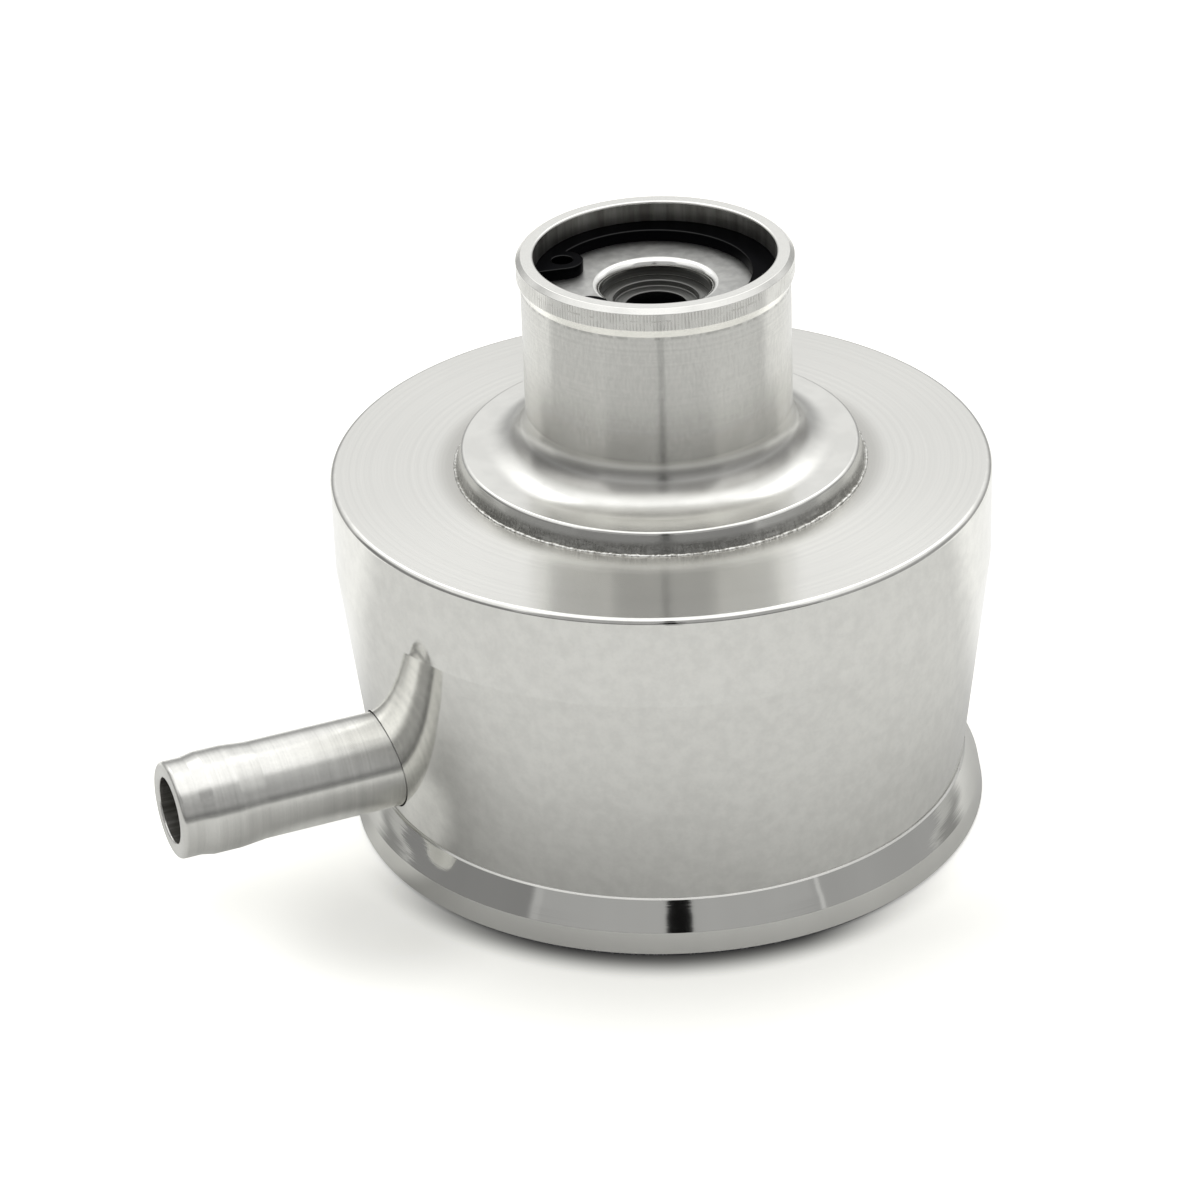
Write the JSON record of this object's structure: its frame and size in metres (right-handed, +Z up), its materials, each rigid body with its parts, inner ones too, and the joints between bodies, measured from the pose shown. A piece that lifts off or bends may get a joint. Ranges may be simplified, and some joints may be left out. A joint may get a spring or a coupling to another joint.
{
  "type": "valve cover breather",
  "caption": "Turned aluminium breather with a grommet neck, a side hose nipple and a spring-loaded valve held in the neck by a retaining ring.",
  "frame": {"origin": "centre of the flat outer face, on which the breather stands when it is off the engine", "axes": "+Z up the neck's axis, out of the neck's mouth; -X along the hose nipple, out of its tip"},
  "size_m": [0.0841, 0.064, 0.0589],
  "materials": {
    "polished_aluminium": "mirror polished on the wall, fine turned on the shoulder",
    "turned_aluminium": "fine turned, not polished",
    "zinc_plated_steel": "bright zinc plate, slightly blotched",
    "black_spring_steel": "phosphated and oiled, black",
    "plain_steel": "turned, oiled",
    "spring_wire": "drawn wire"
  },
  "bodies": {
    "housing": {"breather_body": "polished_aluminium", "neck_insert": "turned_aluminium", "hose_nipple": "turned_aluminium", "snap_ring": "black_spring_steel", "valve_disc": "zinc_plated_steel", "plunger_spring": "spring_wire"},
    "plunger": {"valve_plunger": "plain_steel"}
  },
  "joints": [
    {"name": "plunger_slide", "type": "slide", "parent": "housing", "child": "plunger", "axis": [0, 0, -1], "range_m": [0, 0.005], "stiffness_N_per_m": 106, "springref_m": -0.006, "deforming": ["plunger_spring"]}
  ]
}
